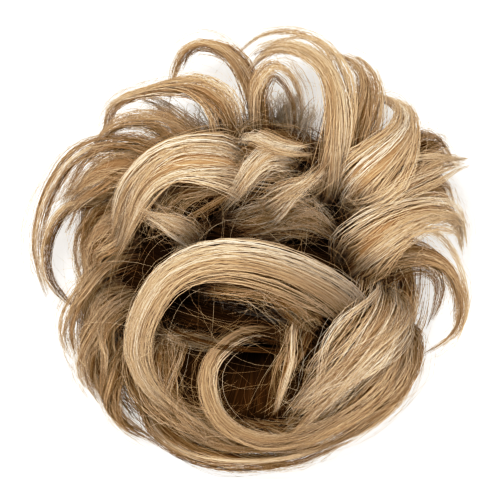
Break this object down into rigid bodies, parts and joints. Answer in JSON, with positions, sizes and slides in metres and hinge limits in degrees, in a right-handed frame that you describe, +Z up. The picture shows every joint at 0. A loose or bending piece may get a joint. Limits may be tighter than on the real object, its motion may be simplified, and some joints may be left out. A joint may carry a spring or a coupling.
{
  "type": "top knot hairpiece",
  "caption": "Tousled messy-bun hairpiece: curled locks of blond hair round a ring of packed hair on a stretchy band, with an open hole for the wearer's own bun.",
  "frame": {"origin": "middle of the bun's bounding box, on the surface that it lies on", "axes": "+X to the right and +Y to the back as the bun lies, +Z up, away from the wearer's head"},
  "size_m": [0.1488, 0.148, 0.0631],
  "materials": {
    "outer_hair": "satin",
    "inner_hair": "satin",
    "elastic_band": "matte"
  },
  "bodies": {
    "root": {"elastic_band": "elastic_band", "inner_hair": "inner_hair", "hollow_lock_1": "inner_hair", "hollow_lock_2": "inner_hair", "hollow_lock_3": "inner_hair", "front_sweep": "outer_hair", "left_bright_sweep": "outer_hair", "crown_fan_bright": "outer_hair", "right_fan_1": "outer_hair", "right_fan_2": "outer_hair", "right_fan_3": "outer_hair", "right_fan_4": "outer_hair", "right_fan_5": "outer_hair", "crown_fan_edge": "outer_hair", "centre_tress": "outer_hair", "centre_cross": "outer_hair", "inner_left_sweep": "outer_hair", "left_tuck": "outer_hair", "centre_curl": "outer_hair", "brow_tress": "outer_hair", "upper_left_wave": "outer_hair", "left_wave_high": "outer_hair", "left_wave_cross": "outer_hair", "left_fan_mid": "outer_hair", "left_outer_wisp": "outer_hair", "left_hook": "outer_hair", "crown_loop_outer": "outer_hair", "crown_loop_inner": "outer_hair", "crest_curl": "outer_hair", "crown_under_lock": "outer_hair", "well_loop": "outer_hair", "front_under_sweep": "outer_hair", "well_tongue": "outer_hair", "well_tuft": "outer_hair", "front_right_fan_1": "outer_hair", "front_right_fan_2": "outer_hair", "right_loop": "outer_hair", "right_loop_inner": "outer_hair", "front_right_hem": "outer_hair", "left_lower_sweep": "outer_hair", "left_lower_loop": "outer_hair", "left_side_panel": "outer_hair", "left_lower_drop": "outer_hair", "left_side_curtain": "outer_hair", "left_under_fan_1": "outer_hair", "left_under_fan_2": "outer_hair", "front_hem": "outer_hair", "skirt_lock_1": "outer_hair", "skirt_lock_2": "outer_hair", "skirt_lock_3": "outer_hair", "skirt_lock_4": "outer_hair", "skirt_lock_5": "outer_hair", "skirt_lock_6": "outer_hair", "skirt_lock_7": "outer_hair", "skirt_lock_8": "outer_hair", "skirt_lock_9": "outer_hair", "skirt_lock_10": "outer_hair", "skirt_lock_11": "outer_hair", "skirt_lock_12": "outer_hair"}
  },
  "joints": []
}
